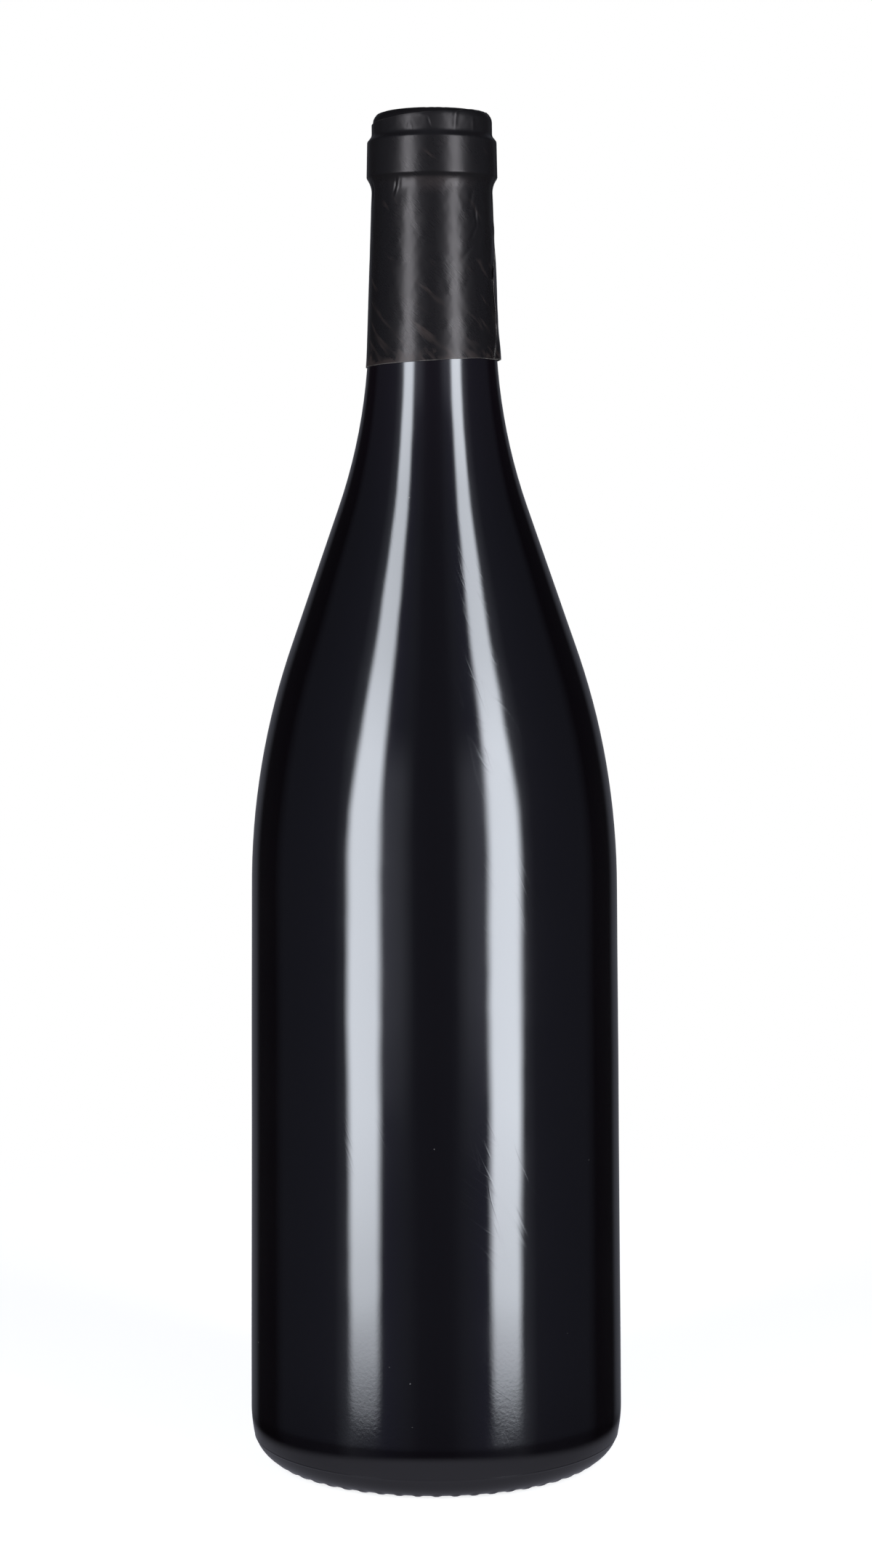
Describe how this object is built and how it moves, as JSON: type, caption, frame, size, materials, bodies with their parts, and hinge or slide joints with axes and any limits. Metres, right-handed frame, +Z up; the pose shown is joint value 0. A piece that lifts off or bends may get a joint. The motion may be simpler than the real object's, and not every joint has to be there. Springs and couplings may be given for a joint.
{
  "type": "wine bottle",
  "caption": "Full, sealed wine bottle with sloping shoulders, opaque dark glass, a hollow under the base and a black shrunk-film capsule over the closure.",
  "frame": {"origin": "centre of the base, on the surface the bottle stands on", "axes": "+Z up along the bottle's axis, -Y towards the front, +X towards the capsule's lap seam"},
  "size_m": [0.082, 0.082, 0.2974],
  "materials": {
    "glass": "moulded, polished, reads as opaque black",
    "film": "satin black shrink film, slightly brushed and creased"
  },
  "bodies": {
    "root": {"glass_bottle": "glass", "capsule_top_disc": "film", "capsule_sleeve": "film"}
  },
  "joints": []
}
